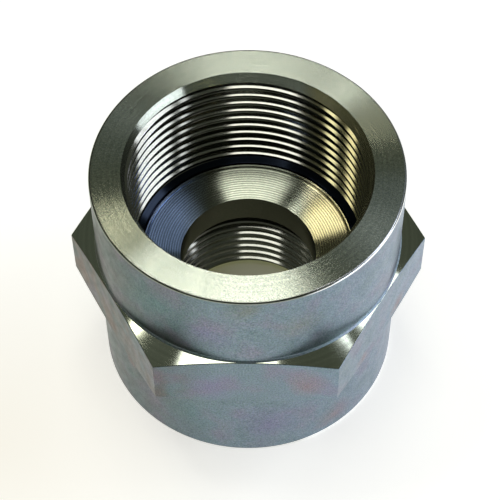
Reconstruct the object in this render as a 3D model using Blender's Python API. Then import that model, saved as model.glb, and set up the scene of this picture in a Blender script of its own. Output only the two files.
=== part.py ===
"""Steel reducing socket: one hexagon bar turned round at both ends, with a large and a small threaded socket.

The part stands on its small end. Its origin is at the centre of the bottom face, +Z runs up its axis to the
large socket, and two corners of the hexagon lie on the X axis. All sizes are in metres.
"""
import math

import bmesh
import bpy

# Outside of the body
ACROSS_FLATS = 0.0600
ROUND_DIAMETER = 0.0592
UPPER_ROUND_LENGTH = 0.0196
HEX_BAND_LENGTH = 0.0144
LOWER_ROUND_LENGTH = 0.0196
HEX_CHAMFER_ANGLE = math.radians(20.0)
EDGE_BREAK = 0.0004

# Large socket, open at the top
LARGE_MINOR_DIAMETER = 0.04484
LARGE_CHAMFER_LENGTH = 0.0020
LARGE_THREAD_START = 0.00129
LARGE_CORNER_WIDTH = 0.00167
LARGE_CORNER_DROP = 0.0007
LARGE_FLOOR_SLOPE = math.radians(13.5)

# Web between the sockets, and how far it reaches inside the small bore, as the stop for the pipe's end
WEB_THICKNESS = 0.0064
WEB_LEDGE = 0.001795

# Small socket, open at the bottom
SMALL_SOCKET_DEPTH = 0.0200
SMALL_MINOR_DIAMETER = 0.03029
SMALL_CHAMFER_LENGTH = 0.0020
SMALL_THREAD_START = 0.0009
SMALL_CORNER_WIDTH = 0.00085
SMALL_CORNER_DROP = 0.0008
SMALL_FLOOR_SLOPE = math.radians(30.0)

# Pipe thread of 11 turns to the inch with 55 degrees between its flanks, and the rim that each mouth has beyond it
THREAD_PITCH = 0.0254 / 11
THREAD_DEPTH = 0.00116
THREAD_ROOT_FLAT = 0.00045
FLANK_ANGLE = math.radians(27.5)
THREAD_START_ANGLE = math.radians(270.0)
FADE_IN_TURNS = 0.25
FADE_OUT_TURNS = 0.4
RUNOUT_CLEARANCE = 0.00015
MOUTH_RIM = 0.00004

# Facets round a full turn
OUTSIDE_FACETS = 96
LARGE_FACETS = 60
SMALL_FACETS = 48

# How far a cutting form passes the faces that it cuts
OVERSHOOT = 0.001

STEEL_COLOUR = (0.60, 0.62, 0.62, 1.0)
STEEL_ROUGHNESS = 0.32
SHARP_ANGLE = math.radians(12.0)

# Lengths that follow from the ones above
OVERALL_LENGTH = LOWER_ROUND_LENGTH + HEX_BAND_LENGTH + UPPER_ROUND_LENGTH
LARGE_SOCKET_DEPTH = OVERALL_LENGTH - SMALL_SOCKET_DEPTH - WEB_THICKNESS
ROUND_RADIUS = ROUND_DIAMETER / 2
HOLE_RADIUS = SMALL_MINOR_DIAMETER / 2 - WEB_LEDGE
HEX_CORNER_RADIUS = ACROSS_FLATS / 2 / math.cos(math.radians(30.0))


def clear_scene():
    """Remove every object that the file opened with."""
    for item in list(bpy.data.objects):
        bpy.data.objects.remove(item, do_unlink=True)


def add_object(name, work_mesh):
    """Turn a bmesh into a named object in the scene."""
    bmesh.ops.recalc_face_normals(work_mesh, faces=work_mesh.faces)
    mesh = bpy.data.meshes.new(name)
    work_mesh.to_mesh(mesh)
    work_mesh.free()
    item = bpy.data.objects.new(name, mesh)
    bpy.context.collection.objects.link(item)
    return item


def turned_form(name, outline, facets):
    """Turn an outline of (radius, height) points round the Z axis and close both ends flat."""
    work_mesh = bmesh.new()
    points = [work_mesh.verts.new((radius, 0.0, height)) for radius, height in outline]
    edges = [work_mesh.edges.new(pair) for pair in zip(points, points[1:])]
    bmesh.ops.spin(
        work_mesh,
        geom=points + edges,
        cent=(0.0, 0.0, 0.0),
        axis=(0.0, 0.0, 1.0),
        angle=2 * math.pi,
        steps=facets,
        use_merge=True,
    )
    open_edges = [edge for edge in work_mesh.edges if edge.is_boundary]
    bmesh.ops.holes_fill(work_mesh, edges=open_edges, sides=0)
    return add_object(name, work_mesh)


def round_body():
    """The two turned ends as one bar, with its outer edges broken."""
    outline = [
        (ROUND_RADIUS - EDGE_BREAK, 0.0),
        (ROUND_RADIUS, EDGE_BREAK),
        (ROUND_RADIUS, OVERALL_LENGTH - EDGE_BREAK),
        (ROUND_RADIUS - EDGE_BREAK, OVERALL_LENGTH),
    ]
    return turned_form("round_body", outline, OUTSIDE_FACETS)


def hex_chamfer_form():
    """Two cones back to back, which leave the corners of the hexagon chamfered above and below."""
    inner = ROUND_RADIUS - OVERSHOOT
    outer = HEX_CORNER_RADIUS + OVERSHOOT
    slope = math.tan(HEX_CHAMFER_ANGLE)
    low_shoulder = LOWER_ROUND_LENGTH
    high_shoulder = LOWER_ROUND_LENGTH + HEX_BAND_LENGTH
    outline = [
        (inner, low_shoulder - OVERSHOOT * slope),
        (outer, low_shoulder + (outer - ROUND_RADIUS) * slope),
        (outer, high_shoulder - (outer - ROUND_RADIUS) * slope),
        (inner, high_shoulder + OVERSHOOT * slope),
    ]
    return turned_form("hex_chamfer_form", outline, OUTSIDE_FACETS)


def hex_bar():
    """The hexagon bar that stays full size between the two turned ends."""
    bpy.ops.mesh.primitive_cylinder_add(
        vertices=6,
        radius=HEX_CORNER_RADIUS,
        depth=HEX_BAND_LENGTH + 2 * OVERSHOOT,
        location=(0.0, 0.0, LOWER_ROUND_LENGTH + HEX_BAND_LENGTH / 2),
    )
    item = bpy.context.object
    item.name = "reducing_socket"
    item.data.name = "reducing_socket"
    for vertex in item.data.vertices:
        vertex.co.x, vertex.co.y = vertex.co.y, -vertex.co.x
        vertex.co.z += item.location.z
    item.location.z = 0.0
    return item


def groove_section(share):
    """One groove of the thread, from its upper edge to its lower one, as (height, cut) pairs.

    The share says how much of the full depth is cut. A shallow groove is narrow too, as a tap leaves it.
    """
    half_root = THREAD_ROOT_FLAT / 2
    cut = THREAD_DEPTH * share
    half_mouth = half_root + cut * math.tan(FLANK_ANGLE)
    return [(half_mouth, 0.0), (half_root, cut), (-half_root, cut), (-half_mouth, 0.0)]


def tapped_core(name, facets, minor_radius, start_depth, floor_depth, corner_width, corner_drop, floor_slope):
    """The space of a tapped socket, with its mouth at the origin and its axis running down -Z.

    The wall of the thread is one strip of grooves wound down a right-handed helix. It starts in the part that
    the mouth's chamfer takes away, and its depth dies away at the far end, as behind a tap's tapered nose.
    Below the thread a steep corner leads to the floor, which falls gently to the edge of the through hole.
    """
    work_mesh = bmesh.new()
    floor_radius = minor_radius - corner_width
    corner_depth = floor_depth - (floor_radius - HOLE_RADIUS) * math.tan(floor_slope)
    thread_end = corner_depth - corner_drop
    turns = (thread_end - start_depth - THREAD_ROOT_FLAT / 2 - RUNOUT_CLEARANCE) / THREAD_PITCH
    steps = int(turns * facets)
    step_angle = 2 * math.pi / facets

    def spot(radius, place, height):
        angle = THREAD_START_ANGLE - place * step_angle
        return work_mesh.verts.new((radius * math.cos(angle), radius * math.sin(angle), height))

    def ring(radius, height):
        return [spot(radius, place, height) for place in range(facets)]

    def groove(step):
        centre = -start_depth - THREAD_PITCH * step / facets
        share = min(1.0, step / (FADE_IN_TURNS * facets), (steps - step) / (FADE_OUT_TURNS * facets))
        return [spot(minor_radius + cut, step, centre + height) for height, cut in groove_section(share)]

    def band(upper, lower):
        for place in range(facets):
            after = (place + 1) % facets
            work_mesh.faces.new((upper[place], upper[after], lower[after], lower[place]))

    inner_radius = HOLE_RADIUS - OVERSHOOT
    inner_depth = floor_depth + OVERSHOOT * math.tan(floor_slope)
    mouth = ring(minor_radius, OVERSHOOT)
    thread_foot = ring(minor_radius, -thread_end)
    floor_rim = ring(floor_radius, -corner_depth)
    floor_centre = ring(inner_radius, -inner_depth)
    grooves = [groove(step) for step in range(steps + 1)]

    for before, after in zip(grooves, grooves[1:]):
        for corner in range(len(before) - 1):
            work_mesh.faces.new((before[corner], after[corner], after[corner + 1], before[corner + 1]))
    for step in range(steps - facets):
        upper_crest = [grooves[step][-1], grooves[step + 1][-1]]
        lower_crest = [grooves[step + facets + 1][0], grooves[step + facets][0]]
        work_mesh.faces.new(upper_crest + lower_crest)
    for step in range(facets):
        outline = [mouth[step], mouth[(step + 1) % facets]]
        if step + 1 == facets:
            outline += grooves[0]
        work_mesh.faces.new(outline + [grooves[step + 1][0], grooves[step][0]])
    for step in range(steps - facets, steps):
        outline = [grooves[step][-1], grooves[step + 1][-1]]
        outline += [thread_foot[(step + 1) % facets], thread_foot[step % facets]]
        if step == steps - facets:
            outline += reversed(grooves[steps])
        work_mesh.faces.new(outline)
    band(thread_foot, floor_rim)
    band(floor_rim, floor_centre)
    work_mesh.faces.new(mouth)
    work_mesh.faces.new(floor_centre)
    return add_object(name, work_mesh)


def mouth_cone(name, facets, minor_radius, chamfer):
    """The cone that opens a tapped mouth a little wider than its thread, ready to cut at the origin."""
    mouth_radius = minor_radius + THREAD_DEPTH + MOUTH_RIM
    spread = (mouth_radius - minor_radius) / chamfer
    outline = [
        (minor_radius - OVERSHOOT * spread, -chamfer - OVERSHOOT),
        (mouth_radius + OVERSHOOT * spread, OVERSHOOT),
    ]
    return turned_form(name, outline, facets)


def large_socket_tools():
    """The tapped space of the large socket and its mouth's chamfer, placed at the top face."""
    minor_radius = LARGE_MINOR_DIAMETER / 2
    core = tapped_core(
        name="large_tapped_core",
        facets=LARGE_FACETS,
        minor_radius=minor_radius,
        start_depth=LARGE_THREAD_START,
        floor_depth=LARGE_SOCKET_DEPTH,
        corner_width=LARGE_CORNER_WIDTH,
        corner_drop=LARGE_CORNER_DROP,
        floor_slope=LARGE_FLOOR_SLOPE,
    )
    cone = mouth_cone("large_mouth_cone", LARGE_FACETS, minor_radius, LARGE_CHAMFER_LENGTH)
    for tool in (core, cone):
        tool.location.z = OVERALL_LENGTH
    return core, cone


def small_socket_tools():
    """The same two forms for the small socket, turned over so that they open at the bottom face."""
    minor_radius = SMALL_MINOR_DIAMETER / 2
    core = tapped_core(
        name="small_tapped_core",
        facets=SMALL_FACETS,
        minor_radius=minor_radius,
        start_depth=SMALL_THREAD_START,
        floor_depth=SMALL_SOCKET_DEPTH,
        corner_width=SMALL_CORNER_WIDTH,
        corner_drop=SMALL_CORNER_DROP,
        floor_slope=SMALL_FLOOR_SLOPE,
    )
    cone = mouth_cone("small_mouth_cone", SMALL_FACETS, minor_radius, SMALL_CHAMFER_LENGTH)
    for tool in (core, cone):
        tool.rotation_euler.x = math.pi
    return core, cone


def through_hole_core():
    """The plain drill that joins the two sockets through the web."""
    outline = [
        (HOLE_RADIUS, SMALL_SOCKET_DEPTH - 2 * OVERSHOOT),
        (HOLE_RADIUS, SMALL_SOCKET_DEPTH + WEB_THICKNESS + 2 * OVERSHOOT),
    ]
    return turned_form("through_hole_core", outline, SMALL_FACETS)


def combine(body, tool, operation):
    """Run one exact Boolean on the body, apply it, and take the tool out of the scene."""
    tool.display_type = "WIRE"
    tool.hide_render = True
    step = body.modifiers.new(tool.name, "BOOLEAN")
    step.operation = operation
    step.solver = "EXACT"
    step.object = tool
    bpy.context.view_layer.objects.active = body
    bpy.ops.object.modifier_apply(modifier=step.name)
    bpy.data.objects.remove(tool, do_unlink=True)


def plated_steel():
    """Bright zinc-plated steel."""
    material = bpy.data.materials.new("zinc_plated_steel")
    material.use_nodes = True
    shader = material.node_tree.nodes["Principled BSDF"]
    shader.inputs["Base Color"].default_value = STEEL_COLOUR
    shader.inputs["Metallic"].default_value = 1.0
    shader.inputs["Roughness"].default_value = STEEL_ROUGHNESS
    return material


def build():
    """Model the socket as it is machined: hexagon bar, turned ends, then the two sockets and the hole."""
    clear_scene()
    socket = hex_bar()
    combine(socket, hex_chamfer_form(), "INTERSECT")
    combine(socket, round_body(), "UNION")
    for tool in (*large_socket_tools(), *small_socket_tools(), through_hole_core()):
        combine(socket, tool, "DIFFERENCE")
    socket.data.materials.clear()
    socket.data.materials.append(plated_steel())
    socket.data.shade_smooth()
    socket.data.set_sharp_from_angle(angle=SHARP_ANGLE)
    return socket


build()
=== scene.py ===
# %% [markdown]
# A reducing socket is a short pipe fitting. It is turned from hexagon bar, tapped with a large pipe
# thread at one end and a small one at the other, and zinc plated. This lesson models the finished
# socket around a fixed frame of its real size, and then gives each machined surface its own finish.

# %% Load the frame
import math

import bpy
from mathutils import Matrix, Vector


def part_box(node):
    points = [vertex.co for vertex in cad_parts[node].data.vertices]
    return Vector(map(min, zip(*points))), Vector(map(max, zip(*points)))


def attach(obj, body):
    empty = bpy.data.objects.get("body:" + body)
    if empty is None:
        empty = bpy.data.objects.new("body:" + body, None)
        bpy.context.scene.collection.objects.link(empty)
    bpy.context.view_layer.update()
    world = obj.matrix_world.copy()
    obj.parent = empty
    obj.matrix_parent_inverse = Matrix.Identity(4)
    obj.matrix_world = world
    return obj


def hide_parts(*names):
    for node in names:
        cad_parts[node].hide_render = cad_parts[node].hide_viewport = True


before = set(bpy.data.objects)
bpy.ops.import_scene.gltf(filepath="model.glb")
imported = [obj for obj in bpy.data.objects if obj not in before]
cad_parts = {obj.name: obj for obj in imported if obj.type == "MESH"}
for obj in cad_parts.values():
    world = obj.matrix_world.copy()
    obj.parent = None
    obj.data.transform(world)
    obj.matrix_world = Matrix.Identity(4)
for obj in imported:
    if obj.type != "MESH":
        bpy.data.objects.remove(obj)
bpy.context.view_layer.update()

NODE = "reducing_socket"
low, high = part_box(NODE)
print("frame box in millimetres:", [round(1000 * value, 2) for value in (*low, *high)])

# %% [markdown]
# The frame gives the sizes that must not change: the overall length and the hexagon. The others are
# read from the photograph and from the thread standard, and they are named here once, in metres.

# %% Name the sizes
MM = 0.001
LENGTH = high.z - low.z
CORNER_RADIUS = (high.x - low.x) / 2

ROUND_RADIUS = 29.6 * MM
LOWER_SHOULDER = 19.6 * MM
UPPER_SHOULDER = LENGTH - 19.6 * MM
HEX_CHAMFER = math.radians(20.0)
HEX_TURN = math.radians(30.0)
EDGE_ROUNDING = 0.45 * MM

PITCH = 25.4 * MM / 11
FLANK_ANGLE = math.radians(26.2)
THREAD_DEPTH = 1.16 * MM
ROOT_FLAT = 0.45 * MM
MOUTH_CLEARANCE = 0.04 * MM
MOUTH_RIM = THREAD_DEPTH + MOUTH_CLEARANCE

LARGE_MINOR = 22.42 * MM
LARGE_START = 1.29 * MM
SMALL_MINOR = 15.145 * MM
SMALL_START = 0.90 * MM
SMALL_WALL_FOOT = 18.65 * MM
CHAMFER_LENGTH = 2.0 * MM

HOLE_RADIUS = 13.35 * MM
WEB_BOTTOM = 20.0 * MM
WEB_TOP = 26.4 * MM
FLOOR_RIM = 20.75 * MM
FLOOR_SLOPE = math.radians(13.5)
RIM_HEIGHT = WEB_TOP + (FLOOR_RIM - HOLE_RADIUS) * math.tan(FLOOR_SLOPE)
CORNER_DROP = 0.7 * MM
WALL_FOOT = RIM_HEIGHT + CORNER_DROP
print("length and flats in millimetres:", round(LENGTH / MM, 2), round((high.y - low.y) / MM, 2))

# %% [markdown]
# Every form here is turned on a lathe or wound by a tap, so every form starts as an outline. A plane
# merged to one point is the smallest start that Blender has. Extruding that point from corner to
# corner draws the outline in the XZ plane. Where a tool leaves a corner round, a few short steps take
# its place. The Screw modifier then turns the outline about Z.

# %% Draw an outline point by point
FACETS = 192
TINY = 0.001 * MM


def select_only(piece):
    """Make one object the only one selected, so that the next operator acts on it alone."""
    bpy.ops.object.select_all(action="DESELECT")
    piece.select_set(True)
    bpy.context.view_layer.objects.active = piece


def round_corner(before, corner, after, rounding, steps):
    """Short steps round one corner of an outline, or the corner itself where nothing is rounded."""
    if not rounding:
        return [corner]
    first = (before - corner).normalized()
    second = (after - corner).normalized()
    half_angle = first.angle(second) / 2
    reach = rounding / math.tan(half_angle)
    centre = corner + (first + second).normalized() * (rounding / math.sin(half_angle))
    begin = corner + first * reach - centre
    end = corner + second * reach - centre
    sweep = begin.angle(end)
    points = []
    for step in range(steps + 1):
        share = step / steps
        blend = begin * math.sin((1 - share) * sweep) + end * math.sin(share * sweep)
        points.append(centre + blend / math.sin(sweep))
    return points


def draw_outline(name, corners, closed=False, steps=10):
    """A chain of edges through (radius, height, rounding) corners, in the XZ plane."""
    spots = [Vector((radius, 0.0, height)) for radius, height, _ in corners]
    points = []
    for place, (_, _, rounding) in enumerate(corners):
        after = spots[(place + 1) % len(spots)]
        points += round_corner(spots[place - 1], spots[place], after, rounding, steps)
    bpy.ops.object.select_all(action="DESELECT")
    bpy.ops.mesh.primitive_plane_add(size=MM, location=points[0])
    outline = bpy.context.object
    outline.name = name
    outline.data.name = name
    bpy.ops.object.mode_set(mode="EDIT")
    bpy.ops.mesh.select_all(action="SELECT")
    bpy.ops.mesh.merge(type="CENTER")
    for point, next_point in zip(points, points[1:]):
        bpy.ops.mesh.extrude_region_move(TRANSFORM_OT_translate={"value": next_point - point})
    bpy.ops.object.mode_set(mode="OBJECT")
    bpy.ops.object.transform_apply(location=True, rotation=True, scale=True)
    if closed:
        join_ends(outline, points[0], points[-1])
    return outline


def join_ends(outline, first, last):
    """Close a chain with an edge from its last point to its first."""
    for vertex in outline.data.vertices:
        vertex.select = min((vertex.co - first).length, (vertex.co - last).length) < TINY
    bpy.ops.object.mode_set(mode="EDIT")
    bpy.ops.mesh.edge_face_add()
    bpy.ops.object.mode_set(mode="OBJECT")


def apply_modifier(piece, kind, **settings):
    """Add one modifier, set it and apply it."""
    select_only(piece)
    step = piece.modifiers.new(kind.title(), kind)
    for setting, value in settings.items():
        setattr(step, setting, value)
    bpy.ops.object.modifier_apply(modifier=step.name)
    return piece


def point_faces_out(piece):
    """Merge doubles, then turn every face outwards."""
    select_only(piece)
    bpy.ops.object.mode_set(mode="EDIT")
    bpy.ops.mesh.select_all(action="SELECT")
    bpy.ops.mesh.remove_doubles(threshold=TINY)
    bpy.ops.mesh.normals_make_consistent(inside=False)
    bpy.ops.object.mode_set(mode="OBJECT")
    return piece


def turned(name, corners, facets=FACETS):
    """Turn a closed outline about Z."""
    piece = draw_outline(name, corners, closed=True)
    apply_modifier(piece, "SCREW", angle=2 * math.pi, steps=facets, render_steps=facets,
                   use_merge_vertices=True, merge_threshold=TINY)
    return point_faces_out(piece)


def combine(piece, tool, operation):
    """Run one exact Boolean, apply it and remove the tool."""
    apply_modifier(piece, "BOOLEAN", operation=operation, solver="EXACT", object=tool)
    bpy.data.objects.remove(tool, do_unlink=True)
    return piece


print("outline tools ready, with", FACETS, "facets to a turn")

# %% [markdown]
# The blank is one closed outline turned about Z: the two round ends, the drilled web and the plain
# bores that the taps will follow. The bores are left a little small, so that the tap cuts the whole
# wall. The fine grooves on the web's upper face are the marks that a lathe tool leaves. The blank is
# a little wider where the hexagon will sit, with a small fillet on each side of it.

# %% Turn the blank
TAP_ALLOWANCE = 0.10 * MM
RELIEF = 0.05 * MM
LARGE_RELIEF_LENGTH = 0.6 * MM
SMALL_RELIEF_LENGTH = 0.8 * MM
TOOL_MARK_PITCH = 0.48 * MM
TOOL_MARK_DEPTH = 0.014 * MM
FIRST_MARK = 2
LEDGE_WIDTH = 0.55 * MM
LEDGE_ROUNDING = 0.10 * MM
RIM_ROUNDING = 0.06 * MM
HOLE_ROUNDING = 0.12 * MM
SEAT_WIDTH = 0.85 * MM
SEAT_DROP = 0.55 * MM
SEAT_ROUNDING = 0.10 * MM
GROOVE_START = 0.30 * MM
GROOVE_MIDDLE = 0.46 * MM
GROOVE_END = 0.68 * MM
GROOVE_DEPTH = 0.18 * MM
GROOVE_ROUNDING = 0.15 * MM
FILLET = 0.34 * MM


def bore_outline(minor, mouth, inward, foot, relief_length):
    """The plain bore of one socket from its mouth to its foot, for a mouth that faces away from inward."""
    cone_reach = CHAMFER_LENGTH * (MOUTH_RIM + TAP_ALLOWANCE) / MOUTH_RIM
    return [
        (minor + MOUTH_RIM, mouth, 0.0),
        (minor - TAP_ALLOWANCE, mouth + inward * cone_reach, 0.0),
        (minor - TAP_ALLOWANCE, foot - inward * relief_length, 0.0),
        (minor + RELIEF, foot - inward * relief_length, 0.0),
        (minor + RELIEF, foot, 0.0),
    ]


def web_height(radius):
    """The height of the web's upper face at one radius."""
    return WEB_TOP + (radius - HOLE_RADIUS) * math.tan(FLOOR_SLOPE)


def rim_groove():
    """A fine scored line just inside the rim."""
    start = FLOOR_RIM - GROOVE_START
    middle = FLOOR_RIM - GROOVE_MIDDLE
    end = FLOOR_RIM - GROOVE_END
    return [
        (start, web_height(start), GROOVE_ROUNDING),
        (middle, web_height(middle) - GROOVE_DEPTH, 0.0),
        (end, web_height(end), 0.0),
    ]


def tool_marks():
    """Shallow round grooves on the web's upper face, from inside the rim to the edge of the hole."""
    marks = []
    count = int((FLOOR_RIM - HOLE_RADIUS) / TOOL_MARK_PITCH)
    for place in range(FIRST_MARK, count):
        radius = FLOOR_RIM - place * TOOL_MARK_PITCH
        valley = radius - TOOL_MARK_PITCH / 2
        marks.append((radius, web_height(radius), 0.0))
        marks.append((valley, web_height(valley) - TOOL_MARK_DEPTH, 0.0))
    return marks


large_bore = bore_outline(LARGE_MINOR, LENGTH, -1, WALL_FOOT, LARGE_RELIEF_LENGTH)
small_bore = bore_outline(SMALL_MINOR, 0.0, 1, SMALL_WALL_FOOT, SMALL_RELIEF_LENGTH)
blank_outline = [
    (ROUND_RADIUS, 0.0, EDGE_ROUNDING),
    (ROUND_RADIUS, LOWER_SHOULDER - FILLET, FILLET),
    (ROUND_RADIUS + FILLET, LOWER_SHOULDER + FILLET / 2, 0.0),
    (ROUND_RADIUS + FILLET, UPPER_SHOULDER - FILLET / 2, 0.0),
    (ROUND_RADIUS, UPPER_SHOULDER + FILLET, FILLET),
    (ROUND_RADIUS, LENGTH, EDGE_ROUNDING),
    *large_bore,
    (FLOOR_RIM + LEDGE_WIDTH, RIM_HEIGHT, LEDGE_ROUNDING),
    (FLOOR_RIM, RIM_HEIGHT, RIM_ROUNDING),
    *rim_groove(),
    *tool_marks(),
    (HOLE_RADIUS, WEB_TOP, HOLE_ROUNDING),
    (HOLE_RADIUS, WEB_BOTTOM, HOLE_ROUNDING),
    (SMALL_MINOR - SEAT_WIDTH, WEB_BOTTOM - SEAT_DROP, SEAT_ROUNDING),
    *reversed(small_bore),
]
socket = turned("machined_socket", blank_outline)
print("blank:", len(socket.data.polygons), "faces")

# %% [markdown]
# The middle keeps the hexagon of the bar. Its corners are chamfered by a lathe tool above and below,
# which leaves the curved upper edges that a hexagon fitting shows. A six-sided cylinder cut by a
# double cone gives that shape, and a small bevel takes the sharpness off every edge. The band stays a
# piece of its own until both taps have cut, so that every Boolean stays simple.

# %% Make the hexagon band
PAST = 1.0 * MM
BAND_BEVEL = 0.16 * MM
BAND_BEVEL_STEPS = 8
BAND_EDGE_ANGLE = math.radians(15.0)


def hexagon_band():
    """A bar of hexagon section with its corners chamfered above and below."""
    bpy.ops.object.select_all(action="DESELECT")
    middle = (LOWER_SHOULDER + UPPER_SHOULDER) / 2
    depth = UPPER_SHOULDER - LOWER_SHOULDER + 2 * PAST
    bpy.ops.mesh.primitive_cylinder_add(vertices=6, radius=CORNER_RADIUS, depth=depth,
                                        location=(0.0, 0.0, middle), rotation=(0.0, 0.0, HEX_TURN))
    band = bpy.context.object
    band.name = "hexagon_band"
    bpy.ops.object.transform_apply(location=True, rotation=True, scale=True)
    hidden = ROUND_RADIUS - 3 * PAST
    inner = ROUND_RADIUS - PAST
    outer = CORNER_RADIUS + PAST
    rise = PAST * math.tan(HEX_CHAMFER)
    fall = (outer - ROUND_RADIUS) * math.tan(HEX_CHAMFER)
    cones = turned("corner_chamfers", [
        (hidden, LOWER_SHOULDER - rise, 0.0),
        (inner, LOWER_SHOULDER - rise, 0.0),
        (outer, LOWER_SHOULDER + fall, 0.0),
        (outer, UPPER_SHOULDER - fall, 0.0),
        (inner, UPPER_SHOULDER + rise, 0.0),
        (hidden, UPPER_SHOULDER + rise, 0.0),
    ])
    combine(band, cones, "INTERSECT")
    return point_faces_out(band)


def soften_edges(piece, width, segments, limit):
    """Round every edge that is sharper than the limit."""
    return apply_modifier(piece, "BEVEL", width=width, segments=segments, limit_method="ANGLE",
                          angle_limit=limit, use_clamp_overlap=False, harden_normals=False)


band = hexagon_band()
soften_edges(band, BAND_BEVEL, BAND_BEVEL_STEPS, BAND_EDGE_ANGLE)
print("band:", len(band.data.polygons), "faces, corners at", round(max(band.dimensions) / 2 / MM, 2), "mm")

# %% [markdown]
# A tap is a screw, so its cutting form is one pitch of thread profile wound about Z. The crest edges
# of the finished thread are slightly worn and its roots are round, and both come from the rounding of
# the profile. The tap has a tapered nose, which makes the last turn die away before the wall's foot.
# Once both taps have cut, the hexagon band is joined to the blank.

# %% Wind the two taps, cut the threads and join the band
THREAD_STEPS = 144
PROFILE_STEPS = 4
CREST_ROUNDING = 0.12 * MM
ROOT_ROUNDING = 0.22 * MM
NOSE_LENGTH = 1.0 * MM
RUN_OUT = 1.03 * MM
SHARP_ANGLE = math.radians(11.0)


def tap(name, minor, groove_height, foot, mouth, nose):
    """A closed tap that cuts from the foot of a bore to past its mouth.

    The groove height is where a groove's centre crosses the XZ plane, on the +X side. The nose is +1 or
    -1: the side of the foot on which the tapped length lies.
    """
    half_root = ROOT_FLAT / 2
    half_groove = half_root + THREAD_DEPTH * math.tan(FLANK_ANGLE)
    low_end = min(foot, mouth) - PITCH
    turns = math.ceil((abs(mouth - foot) + 3 * PITCH) / PITCH)
    centre = groove_height - PITCH * math.ceil((groove_height - low_end) / PITCH)
    profile = [
        (minor, centre - PITCH / 2, 0.0),
        (minor, centre - half_groove, CREST_ROUNDING),
        (minor + THREAD_DEPTH, centre - half_root, ROOT_ROUNDING),
        (minor + THREAD_DEPTH, centre + half_root, ROOT_ROUNDING),
        (minor, centre + half_groove, CREST_ROUNDING),
        (minor, centre + PITCH / 2, 0.0),
    ]
    piece = draw_outline(name, profile, steps=PROFILE_STEPS)
    apply_modifier(piece, "SCREW", angle=2 * math.pi, screw_offset=PITCH, iterations=turns,
                   steps=THREAD_STEPS, render_steps=THREAD_STEPS)
    point_faces_out(piece)
    ends = sorted((foot - nose * PITCH / 2, mouth - nose * RUN_OUT))
    for height, keep in zip(ends, (1, -1)):
        trim(piece, height, keep)
    point_faces_out(piece)
    full = minor + THREAD_DEPTH + PAST
    nose_outline = [
        (0.0, foot, 0.0),
        (minor + RELIEF / 2, foot, 0.0),
        (full, foot + nose * NOSE_LENGTH * (full - minor) / THREAD_DEPTH, 0.0),
        (full, mouth + nose * PAST, 0.0),
        (0.0, mouth + nose * PAST, 0.0),
    ]
    return combine(piece, spun_solid(name + "_nose", nose_outline), "INTERSECT")


def trim(piece, height, keep):
    """Cut a piece off level at a height, keep what is above (1) or below (-1), and close the cut.

    The cut's edges are extruded and drawn together to one point, which fills the cut with a fan.
    """
    select_only(piece)
    bpy.ops.object.mode_set(mode="EDIT")
    bpy.ops.mesh.select_all(action="SELECT")
    bpy.ops.mesh.bisect(plane_co=(0.0, 0.0, height), plane_no=(0.0, 0.0, 1.0), threshold=TINY / 100,
                        clear_inner=keep > 0, clear_outer=keep < 0)
    bpy.ops.mesh.extrude_edges_move()
    bpy.ops.mesh.merge(type="CENTER")
    bpy.ops.object.mode_set(mode="OBJECT")


def spun_solid(name, corners):
    """A solid without a hole, from an outline that starts and ends on the axis."""
    piece = draw_outline(name, corners)
    apply_modifier(piece, "SCREW", angle=2 * math.pi, steps=FACETS, render_steps=FACETS,
                   use_merge_vertices=True, merge_threshold=TINY)
    return point_faces_out(piece)


large_tap = tap("large_tap", LARGE_MINOR, LENGTH - LARGE_START + PITCH / 4, WALL_FOOT, LENGTH, 1)
print("large tap:", len(large_tap.data.polygons), "faces")
combine(socket, large_tap, "DIFFERENCE")
small_tap = tap("small_tap", SMALL_MINOR, SMALL_START - PITCH / 4, SMALL_WALL_FOOT, 0.0, -1)
print("small tap:", len(small_tap.data.polygons), "faces")
combine(socket, small_tap, "DIFFERENCE")
combine(socket, band, "UNION")
point_faces_out(socket)
select_only(socket)
bpy.ops.object.shade_smooth_by_angle(angle=SHARP_ANGLE, keep_sharp_edges=False)
apply_modifier(socket, "WEIGHTED_NORMAL", keep_sharp=True)
print("tapped socket:", len(socket.data.polygons), "faces")

uses = {}
for polygon in socket.data.polygons:
    for key in polygon.edge_keys:
        uses[key] = uses.get(key, 0) + 1
print("edges that are not shared by two faces:", sum(count != 2 for count in uses.values()))

# %% [markdown]
# Zinc plating is a thin bright coat over the machined steel, so each surface shows the tool that made
# it. The helpers below make a metal shader and its nodes. Every pattern reads Object coordinates, so
# that it stays with the part, and a number that is the same all over is set on the shader itself.

# %% Helpers for the metal finishes
GRAIN_TINT = 0.8


def new_metal(name, roughness, lathe=0.0):
    """A metal material with its nodes. The lathe share stretches reflections across round tool marks."""
    material = bpy.data.materials.new(name)
    material.use_nodes = True
    tree = material.node_tree
    shader = tree.nodes["Principled BSDF"]
    shader.inputs["Metallic"].default_value = 1.0
    shader.inputs["Roughness"].default_value = roughness
    if lathe:
        shader.inputs["Anisotropic"].default_value = lathe
        shader.inputs["Anisotropic Rotation"].default_value = 0.25
        tangent = tree.nodes.new("ShaderNodeTangent")
        tangent.direction_type = "RADIAL"
        tangent.axis = "Z"
        tree.links.new(tangent.outputs["Tangent"], shader.inputs["Tangent"])
    return material, tree, shader


def add_node(tree, kind, settings, inputs):
    """A new node. Each input is a value, or an output socket of another node to link."""
    node = tree.nodes.new(kind)
    for setting, value in settings.items():
        setattr(node, setting, value)
    for place, value in inputs.items():
        if isinstance(value, bpy.types.NodeSocket):
            tree.links.new(value, node.inputs[place])
        else:
            node.inputs[place].default_value = value
    return node


def object_place(tree):
    """The place on the part, in metres."""
    return tree.nodes.new("ShaderNodeTexCoord").outputs["Object"]


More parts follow.
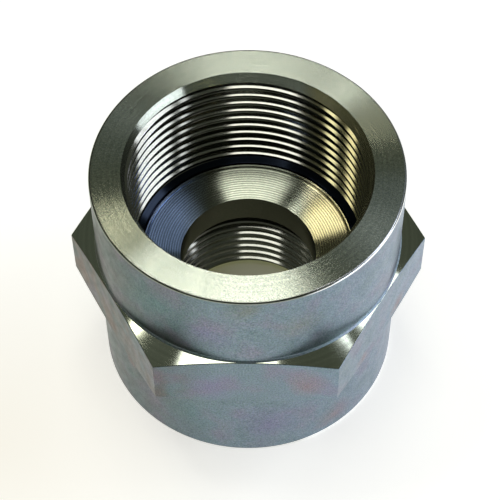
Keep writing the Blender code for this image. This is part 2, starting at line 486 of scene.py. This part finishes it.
def noise(tree, place, size, detail=2.0):
    """Soft random values with features of one size, as a number and as a colour."""
    inputs = {"Vector": place, "Scale": 1.0 / size, "Detail": detail}
    node = add_node(tree, "ShaderNodeTexNoise", {}, inputs)
    return node.outputs["Fac"], node.outputs["Color"]


def spread(tree, value, low_in, high_in, low_out, high_out):
    """A number moved from one range to another, and held within it."""
    inputs = {0: value, 1: low_in, 2: high_in, 3: low_out, 4: high_out}
    return add_node(tree, "ShaderNodeMapRange", {}, inputs).outputs[0]


def mix_colours(tree, share, first, second, blend="MIX"):
    """Two colours mixed. Each is a socket or three numbers, and the share is a socket or a number."""
    first, second = [(*c, 1.0) if isinstance(c, tuple) else c for c in (first, second)]
    inputs = {0: share, 6: first, 7: second}
    node = add_node(tree, "ShaderNodeMix", {"data_type": "RGBA", "blend_type": blend}, inputs)
    return node.outputs[2]


def grained(tree, place, colour, size, share):
    """A colour with a fine grain over it, light and dark, with a breath of other tints."""
    value, tints = noise(tree, place, size, 3.0)
    grain = spread(tree, value, 0.3, 0.7, 1.0 - share, 1.0 + share)
    speckled = mix_colours(tree, 1.0, colour, grain, "MULTIPLY")
    return mix_colours(tree, share * GRAIN_TINT, speckled, tints, "OVERLAY")


def add_bump(tree, shader, height, distance):
    """A bump of a real height, in metres."""
    node = add_node(tree, "ShaderNodeBump", {}, {"Height": height, "Distance": distance, "Strength": 1.0})
    tree.links.new(node.outputs["Normal"], shader.inputs["Normal"])


def from_axis(tree, place):
    """The distance from the axis of the part."""
    flat = add_node(tree, "ShaderNodeVectorMath", {"operation": "MULTIPLY"}, {0: place, 1: (1.0, 1.0, 0.0)})
    length = add_node(tree, "ShaderNodeVectorMath", {"operation": "LENGTH"}, {0: flat.outputs[0]})
    return length.outputs["Value"]


print("material helpers ready")

# %% [markdown]
# The plated outside is satin. Its film is so thin that it takes faint colours where its thickness
# drifts: blue-grey over most of the part, with pink and green streaks. The front left is painted
# darker as shade, with warm brown streaks and patches that are a painted reflection of warm light,
# and the right is painted a lighter, cooler blue as a reflection of the window. A few soft patches of
# other tints are placed one by one, and a slow noise bends their edges.

# %% Mix the satin plating
GRAIN = 0.30 * MM
GRAIN_HEIGHT = 0.006 * MM
WEAR_SIZE = 2.0 * MM
STREAK_SIZE = 5.0 * MM
DRIFT_SIZE = 7.0 * MM
WARP = 6.0 * MM
SATIN_ROUGHNESS = 0.36
LEFT_PAINTED_SHADE_TINT = (0.052, 0.070, 0.060)
MIDDLE_TINT = (0.190, 0.255, 0.295)
RIGHT_PAINTED_LIGHT_TINT = (0.240, 0.318, 0.418)
PINK_TINT = (0.270, 0.170, 0.270)
GREEN_TINT = (0.085, 0.155, 0.135)
WARM_PAINTED_REFLECTION_TINT = (0.140, 0.086, 0.062)
RED_TINT = (0.330, 0.150, 0.130)
PURPLE_TINT = (0.215, 0.175, 0.330)
TEAL_TINT = (0.090, 0.200, 0.205)
BROWN_TINT = (0.230, 0.200, 0.120)
tint_patches = [
    # The orange patches at the front left are a painted reflection of warm light. The other patches are
    # tints of the plating film.
    ((-18.3, -28.3, 24.0), 4.0, 0.75, WARM_PAINTED_REFLECTION_TINT),
    ((-26.5, -14.2, 22.5), 5.0, 0.70, WARM_PAINTED_REFLECTION_TINT),
    ((-32.3, -4.1, 24.2), 5.0, 0.60, WARM_PAINTED_REFLECTION_TINT),
    ((-22.5, -19.2, 11.0), 3.5, 0.60, GREEN_TINT),
    ((-22.7, -19.0, 16.5), 2.5, 0.55, RED_TINT),
    ((22.3, -21.4, 20.9), 3.0, 0.60, RED_TINT),
    ((29.4, -9.1, 23.2), 3.5, 0.55, RED_TINT),
    ((12.0, -30.0, 26.3), 5.0, 0.40, RED_TINT),
    ((17.6, -23.8, 5.1), 5.0, 0.40, RED_TINT),
    ((4.2, -29.3, 10.2), 8.0, 0.55, PURPLE_TINT),
    ((-7.1, -28.7, 41.4), 6.0, 0.50, PURPLE_TINT),
    ((-5.9, -30.0, 26.0), 6.0, 0.45, PURPLE_TINT),
    ((-17.4, -23.9, 45.1), 10.0, 0.55, TEAL_TINT),
    ((-11.1, -27.4, 11.8), 7.0, 0.40, TEAL_TINT),
    ((9.8, -27.9, 44.2), 5.0, 0.35, BROWN_TINT),
    ((-1.0, -29.6, 51.6), 4.0, 0.40, BROWN_TINT),
]


def side_shares(tree, sides):
    """How far a place counts as front left, and how far as right."""
    # The front left share places painted shade and a painted warm reflection. The right share places a
    # painted reflection of the cool window.
    front = spread(tree, sides.outputs[1], -1.0 * MM, 8.0 * MM, 1.0, 0.06)
    left = spread(tree, sides.outputs[0], -30.0 * MM, -6.0 * MM, 1.0, 0.0)
    right = spread(tree, sides.outputs[0], 4.0 * MM, 30.0 * MM, 0.0, 1.0)
    front_left = add_node(tree, "ShaderNodeMath", {"operation": "MULTIPLY"}, {0: left, 1: front}).outputs[0]
    return front_left, right


def drifting_tints(tree, place, drift, colour, warm_reflection_share, left_painted_share):
    """Pink and green streaks everywhere, and warm ones at the front left."""
    pink = spread(tree, drift, 0.50, 0.68, 0.0, 0.28)
    colour = mix_colours(tree, pink, colour, PINK_TINT)
    green = spread(tree, drift, 0.34, 0.48, 0.20, 0.0)
    colour = mix_colours(tree, green, colour, GREEN_TINT)
    # The warm streaks at the front left are a painted reflection of warm light.
    streaks, _ = noise(tree, place, STREAK_SIZE)
    streaks = spread(tree, streaks, 0.42, 0.62, 0.0, warm_reflection_share)
    warm = add_node(tree, "ShaderNodeMath", {"operation": "MULTIPLY"}, {0: streaks, 1: left_painted_share})
    return mix_colours(tree, warm.outputs[0], colour, WARM_PAINTED_REFLECTION_TINT)


def placed_patches(tree, place, tones, colour):
    """The tint patches, each fading out from its middle, with edges bent by the noise."""
    warped = add_node(tree, "ShaderNodeVectorMath", {"operation": "MULTIPLY_ADD"},
                      {0: tones, 1: (WARP, WARP, WARP), 2: place}).outputs[0]
    for centre, reach, share, tint in tint_patches:
        middle = tuple(value * MM + WARP / 2 for value in centre)
        gap = add_node(tree, "ShaderNodeVectorMath", {"operation": "DISTANCE"}, {0: warped, 1: middle})
        patch = spread(tree, gap.outputs["Value"], 0.0, reach * MM, share, 0.0)
        colour = mix_colours(tree, patch, colour, tint)
    return colour


def satin_plating(name, warm_reflection_share):
    """The finish of the outside, with more or less warm colour at its front left."""
    material, tree, shader = new_metal(name, SATIN_ROUGHNESS)
    place = object_place(tree)
    sides = add_node(tree, "ShaderNodeSeparateXYZ", {}, {0: place})
    left_painted_share, right_painted_share = side_shares(tree, sides)
    # Painted shade darkens the front left, and a painted window reflection lightens the right.
    colour = mix_colours(tree, left_painted_share, MIDDLE_TINT, LEFT_PAINTED_SHADE_TINT)
    colour = mix_colours(tree, right_painted_share, colour, RIGHT_PAINTED_LIGHT_TINT)
    drift, tones = noise(tree, place, DRIFT_SIZE)
    colour = drifting_tints(tree, place, drift, colour, warm_reflection_share, left_painted_share)
    colour = placed_patches(tree, place, tones, colour)
    colour = grained(tree, place, colour, GRAIN, 0.30)
    tree.links.new(colour, shader.inputs["Base Color"])
    wear, _ = noise(tree, place, WEAR_SIZE)
    tree.links.new(spread(tree, wear, 0.3, 0.7, 0.32, 0.42), shader.inputs["Roughness"])
    fine, _ = noise(tree, place, GRAIN, 3.0)
    add_bump(tree, shader, fine, GRAIN_HEIGHT)
    return material


print("tint patches placed one by one:", len(tint_patches))

# %% [markdown]
# The end faces, the web and the cones are machined bright. A lathe tool leaves round grooves, too fine
# to see one by one, that spread a reflection across them: this is what makes the bow-tie of light on
# the end face. The shader's anisotropy does it, with the tangent running round the axis. A faint lean
# of the end face's normal towards the axis stands for the one long side of each groove.

# %% Mix the machined finishes
BRIGHT_ZINC = (0.74, 0.80, 0.69)
RING_PITCH = 0.6 * MM
LEFT_PAINTED_LIGHT_FADE = (-14.0 * MM, -8.0 * MM)
RIGHT_PAINTED_LIGHT_FADE = (10.0 * MM, 13.0 * MM)


def machined(name, colour, roughness, lathe, grain_share, left_painted_light=None, right_painted_light=None, lean=0.0,
             mark_shade=1.0):
    """A bright machined finish with fine grain and faint turned rings, tinted by side where asked.

    The tool's fine grooves have one long side. The lean tips that side towards the axis. The side colours
    paint reflections, highlights and shade onto that side of the part. The mark shade paints shade into the
    valleys of the modelled tool marks.
    """
    material, tree, shader = new_metal(name, roughness, lathe)
    place = object_place(tree)
    sides = add_node(tree, "ShaderNodeSeparateXYZ", {}, {0: place})
    # The side colours are painted light: reflections, highlights and shade on one side of the part.
    if left_painted_light:
        left_painted_share = spread(tree, sides.outputs[0], *LEFT_PAINTED_LIGHT_FADE, 1.0, 0.0)
        colour = mix_colours(tree, left_painted_share, colour, left_painted_light)
    if right_painted_light:
        right_painted_share = spread(tree, sides.outputs[0], *RIGHT_PAINTED_LIGHT_FADE, 0.0, 1.0)
        colour = mix_colours(tree, right_painted_share, colour, right_painted_light)
    colour = grained(tree, place, colour, GRAIN, grain_share)
    radius = from_axis(tree, place)
    band = add_node(tree, "ShaderNodeTexNoise", {"noise_dimensions": "1D"},
                    {"W": radius, "Scale": 1.0 / RING_PITCH, "Detail": 2.0})
    ringed = spread(tree, band.outputs["Fac"], 0.3, 0.7, 0.92, 1.06)
    colour = mix_colours(tree, 1.0, colour, ringed, "MULTIPLY")
    if mark_shade < 1.0:
        inward = add_node(tree, "ShaderNodeMath", {"operation": "SUBTRACT"}, {0: FLOOR_RIM, 1: radius})
        wave = add_node(tree, "ShaderNodeMath", {"operation": "PINGPONG"},
                        {0: inward.outputs[0], 1: TOOL_MARK_PITCH / 2})
        shade = spread(tree, wave.outputs[0], 0.0, TOOL_MARK_PITCH / 2, 1.0, mark_shade)
        colour = mix_colours(tree, 1.0, colour, shade, "MULTIPLY")
    tree.links.new(colour, shader.inputs["Base Color"])
    if lean:
        add_bump(tree, shader, radius, lean)
    return material


finishes = {
    "turned_face": machined("turned_face", (0.68, 0.74, 0.645), 0.215, 1.0, 0.24, lean=0.02),
    # The edge's bright right side is a painted highlight from the window.
    "edge": machined("edge", (0.26, 0.28, 0.25), 0.16, 0.0, 0.10, right_painted_light=(0.90, 0.93, 1.0)),
    "wall": satin_plating("wall", 0.25),
    "flat": satin_plating("flat", 0.8),
    "cone": machined("cone", BRIGHT_ZINC, 0.09, 0.5, 0.05),
    # The chamfer's gold right side is a painted reflection of the warm lamps.
    "chamfer": machined("chamfer", (0.66, 0.72, 0.65), 0.23, 0.95, 0.10, right_painted_light=(0.72, 0.69, 0.42)),
    # The thread's darker olive right side is painted shade that dims the lamps' highlights there.
    "thread": machined("thread", (0.47, 0.475, 0.44), 0.11, 0.0, 0.10, right_painted_light=(0.33, 0.315, 0.20)),
    # The crest's lavender left side is a painted reflection of the window.
    "crest": machined("crest", (0.10, 0.11, 0.10), 0.14, 0.0, 0.10, (0.62, 0.60, 0.72)),
    "small_thread": machined("small_thread", (0.40, 0.41, 0.38), 0.11, 0.0, 0.10),
    "corner": machined("corner", (0.016, 0.022, 0.036), 0.12, 0.0, 0.06),
    # The floor's blue left side and gold right side are painted reflections of the window and the warm
    # lamp. Its mark shade paints shade into the tool mark valleys.
    "floor": machined("floor", (0.28, 0.305, 0.25), 0.15, 0.9, 0.12, (0.50, 0.64, 0.90), (0.47, 0.45, 0.30),
                      mark_shade=0.45),
    "hole": machined("hole", (0.08, 0.085, 0.060), 0.30, 0.6, 0.10),
}
print("finishes:", sorted(finishes))

# %% [markdown]
# A face's finish follows from where the face lies and which way it looks: the same rule that tells a
# turner which tool made it.

# %% Give each face its finish
SKIN = 0.02 * MM
END_SKIN = 0.01 * MM
THREAD_SKIN = 0.03 * MM
RIM_LINE = 0.09 * MM
RIM_LINE_DROP = 0.05 * MM
FOOT_MARGIN = 0.05 * MM
LEVEL_LIMIT = 0.7
CHAMFER_NORMAL = 0.514
NORMAL_MARGIN = 0.08

socket.data.materials.clear()
order = list(finishes)
for name in order:
    socket.data.materials.append(finishes[name])


def outside_finish(place, normal, radius):
    """The finish of a face on the outside."""
    if min(place.z, LENGTH - place.z) < EDGE_ROUNDING:
        return "edge"
    if LOWER_SHOULDER < place.z < UPPER_SHOULDER and radius > ROUND_RADIUS + SKIN:
        return "cone" if abs(normal.z) > LEVEL_LIMIT else "flat"
    return "wall"


def bore_finish(place, normal, radius, minor, drop, plain_thread):
    """The finish of a face in one of the two tapped bores, from its depth below the bore's mouth."""
    cone = minor + MOUTH_RIM * (1 - drop / CHAMFER_LENGTH)
    on_cone = drop < CHAMFER_LENGTH and abs(radius - cone) < THREAD_SKIN
    if on_cone and abs(abs(normal.z) - CHAMFER_NORMAL) < NORMAL_MARGIN:
        return "chamfer"
    return "crest" if radius < minor + THREAD_SKIN else plain_thread


def finish_of(place, normal):
    """The finish of a face, from its centre and its normal."""
    radius = Vector((place.x, place.y)).length
    outward = (place.x * normal.x + place.y * normal.y) / radius
    if outward > 0 and radius > ROUND_RADIUS - EDGE_ROUNDING:
        return outside_finish(place, normal, radius)
    if min(place.z, LENGTH - place.z) < END_SKIN:
        return "turned_face"
    if place.z > WALL_FOOT:
        return bore_finish(place, normal, radius, LARGE_MINOR, LENGTH - place.z, "thread")
    if place.z < SMALL_WALL_FOOT - FOOT_MARGIN:
        return bore_finish(place, normal, radius, SMALL_MINOR, place.z, "small_thread")
    if abs(radius - FLOOR_RIM) < RIM_LINE and place.z > RIM_HEIGHT - RIM_LINE_DROP:
        return "edge"
    if place.z > WEB_TOP - SKIN:
        return "corner" if radius > FLOOR_RIM + SKIN else "floor"
    return "hole"


for polygon in socket.data.polygons:
    polygon.material_index = order.index(finish_of(polygon.center, polygon.normal))
counts = [0] * len(order)
for polygon in socket.data.polygons:
    counts[polygon.material_index] += 1
print("faces by finish:", dict(zip(order, counts)))

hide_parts(NODE)
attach(socket, "root")

# %% [markdown]
# The floor is a plain white table. It is bright to the camera and to reflections, and it still takes
# the soft shadow of the socket; a painted warm shadow darkens its glow a little more at the lower left.
# In the metal's reflections the table's glow is painted darker and greener on the left, as shade. Under
# the socket it keeps a faint olive glow, painted light that stands for what falls through the bore.

# %% Lay the floor
FLOOR_SIZE = 6.0
TABLE_GLOW = 0.66
UNDER_GLOW = 0.07
WHITE = (1.0, 1.0, 1.0)
UNDER_BORE_PAINTED_LIGHT = (1.0, 1.0, 0.45)
LEFT_PAINTED_SHADE = (0.62, 0.68, 0.52)
WARM_PAINTED_SHADOW = (0.85, 0.81, 0.73)
SHADOW_PLACE = (-0.055, -0.030, 0.0)
SHADOW_REACH = 0.060
SHADE_REACH = 0.12
bpy.ops.object.select_all(action="DESELECT")
bpy.ops.mesh.primitive_plane_add(size=FLOOR_SIZE, location=(0.0, 0.0, 0.0))
table = bpy.context.object
table.name = "table"
table_paint = bpy.data.materials.new("white_table")
table_paint.use_nodes = True
tree = table_paint.node_tree
paper = tree.nodes["Principled BSDF"]
paper.inputs["Base Color"].default_value = (0.85, 0.85, 0.83, 1.0)
paper.inputs["Roughness"].default_value = 0.9
paper.inputs["Specular IOR Level"].default_value = 0.0
ray = tree.nodes.new("ShaderNodeLightPath")
seen = add_node(tree, "ShaderNodeMath", {"operation": "MAXIMUM"},
                {0: ray.outputs["Is Camera Ray"], 1: ray.outputs["Is Glossy Ray"]})
seen = add_node(tree, "ShaderNodeMath", {"operation": "MAXIMUM"},
                {0: seen.outputs[0], 1: ray.outputs["Is Transmission Ray"]})
distance = from_axis(tree, object_place(tree))
outside = spread(tree, distance, SMALL_MINOR, ROUND_RADIUS, UNDER_GLOW, TABLE_GLOW)
glow = add_node(tree, "ShaderNodeMath", {"operation": "MULTIPLY"}, {0: seen.outputs[0], 1: outside})
clear = spread(tree, distance, SMALL_MINOR, ROUND_RADIUS, 0.0, 1.0)
spot = object_place(tree)
across = add_node(tree, "ShaderNodeSeparateXYZ", {}, {0: spot}).outputs[0]
shade = spread(tree, across, -SHADE_REACH, 0.0, 1.0, 0.0)
# Painted shade: reflections see the table darker and greener to the left.
mirrored = mix_colours(tree, shade, WHITE, LEFT_PAINTED_SHADE)
gap = add_node(tree, "ShaderNodeVectorMath", {"operation": "DISTANCE"}, {0: spot, 1: SHADOW_PLACE})
shadow = spread(tree, gap.outputs["Value"], 0.0, SHADOW_REACH, 1.0, 0.0)
# Painted shadow: a warm dark spot in the table's glow at the lower left.
plain = mix_colours(tree, shadow, WHITE, WARM_PAINTED_SHADOW)
by_ray = mix_colours(tree, ray.outputs["Is Camera Ray"], mirrored, plain)
# Under the socket a faint olive glow is painted light for what falls through the bore.
tree.links.new(mix_colours(tree, clear, UNDER_BORE_PAINTED_LIGHT, by_ray), paper.inputs["Emission Color"])
tree.links.new(glow.outputs[0], paper.inputs["Emission Strength"])
table.data.materials.append(table_paint)
print("table laid,", FLOOR_SIZE, "metres to a side")

# %% [markdown]
# A bright metal shows the room rather than itself, so the lamps are placed by what each surface has to
# show. A cream softbox in strips hangs overhead, and a cool window runs along its right side and down
# to a low lamp at the right front. A few small tilted lamps light the threads from the left and from
# behind. The rest of the room is dim.

# %% Hang the lamps
def area_lamp(name, place, turn, size, radiance, colour):
    """A rectangular lamp that gives off the same brightness whatever its size is."""
    data = bpy.data.lights.new(name, "AREA")
    data.shape = "RECTANGLE"
    data.size, data.size_y = size
    data.color = colour
    data.energy = radiance * math.pi * size[0] * size[1]
    lamp = bpy.data.objects.new(name, data)
    bpy.context.scene.collection.objects.link(lamp)
    lamp.location = place
    lamp.rotation_euler = [math.radians(angle) for angle in turn]
    return lamp


CREAM = (1.0, 0.98, 0.90)
COOL = (0.92, 0.95, 1.0)
PALE_WARM = (1.0, 0.96, 0.80)
WARM = (1.0, 0.93, 0.70)
DIM_WARM = (1.0, 0.93, 0.72)
BLUE = (0.70, 0.80, 1.0)
ROOM_COLOUR = (0.060, 0.066, 0.050, 1.0)
LAMP_HEIGHT = 0.60

# Each strip has its left, right, near and far edges in metres, and its radiance.
softbox_strips = [
    (-0.200, 0.086, -0.195, -0.070, 2.3),
    (-0.165, 0.076, -0.070, 0.060, 2.3),
    (-0.105, 0.066, 0.060, 0.160, 4.2),
    (-0.045, 0.052, 0.160, 0.290, 4.2),
    (-0.105, -0.045, 0.225, 0.290, 8.0),
    (-0.255, -0.175, 0.065, 0.145, 16.0),
]
window_strips = [
    (0.236, 0.300, -0.020, 0.005, 2.2),
    (0.260, 0.600, 0.036, 0.080, 2.2),
    (0.300, 0.750, 0.080, 0.200, 2.2),
    (0.420, 0.750, 0.200, 0.300, 2.2),
]
# Each tilted lamp has its name, place, turn in degrees, size, radiance and colour.
tilted_lamps = [
    ("low_window", (0.90, -0.30, 0.16), (0, 90, 0), (0.26, 0.80), 3.6, COOL),
    ("left_softbox", (-0.325, 0.035, LAMP_HEIGHT), (0, -28, 0), (0.075, 0.05), 3.5, PALE_WARM),
    ("warm_lamp", (-0.20, 0.27, LAMP_HEIGHT), (-26, -20, 0), (0.08, 0.13), 4.5, WARM),
    ("small_warm_lamp", (-0.43, 0.17, LAMP_HEIGHT), (-14, -36, 0), (0.08, 0.07), 3.0, DIM_WARM),
    ("blue_panel", (0.20, 0.29, LAMP_HEIGHT), (-30, 20, 0), (0.15, 0.22), 0.25, BLUE),
]
for strips, colour in ((softbox_strips, CREAM), (window_strips, COOL)):
    for left, right, near, far, radiance in strips:
        middle = ((left + right) / 2, (near + far) / 2, LAMP_HEIGHT)
        area_lamp("overhead_strip", middle, (0, 0, 0), (right - left, far - near), radiance, colour)
for settings in tilted_lamps:
    area_lamp(*settings)

world = bpy.data.worlds.new("dim_room")
bpy.context.scene.world = world
world.use_nodes = True
world.node_tree.nodes["Background"].inputs["Color"].default_value = ROOM_COLOUR
print("lamps:", len(softbox_strips) + len(window_strips) + len(tilted_lamps))

# %% [markdown]
# The camera looks down on the socket from the front, as the photograph does.

# %% Place the camera
CAMERA_PLACE = Vector((3.535, -194.74, 308.46)) * MM
CAMERA_AIM = Vector((0.364, 0.007, 27.49)) * MM
CAMERA_ROLL = -0.0045
FOCAL_LENGTH = 124.5
SENSOR_WIDTH = 36.0
NEAR_CLIP = 0.01

camera_data = bpy.data.cameras.new("camera")
camera_data.lens = FOCAL_LENGTH
camera_data.sensor_width = SENSOR_WIDTH
camera_data.clip_start = NEAR_CLIP
camera = bpy.data.objects.new("camera", camera_data)
bpy.context.scene.collection.objects.link(camera)
forward = (CAMERA_AIM - CAMERA_PLACE).normalized()
level = forward.cross(Vector((0.0, 0.0, 1.0))).normalized()
upright = level.cross(forward)
right = level * math.cos(CAMERA_ROLL) + upright * math.sin(CAMERA_ROLL)
up = upright * math.cos(CAMERA_ROLL) - level * math.sin(CAMERA_ROLL)
camera.location = CAMERA_PLACE
camera.rotation_euler = Matrix((right, up, -forward)).transposed().to_euler()
bpy.context.scene.camera = camera
bpy.context.scene.view_settings.view_transform = "Standard"
print("camera at", [round(value, 3) for value in camera.location], "metres, lens", FOCAL_LENGTH, "mm")
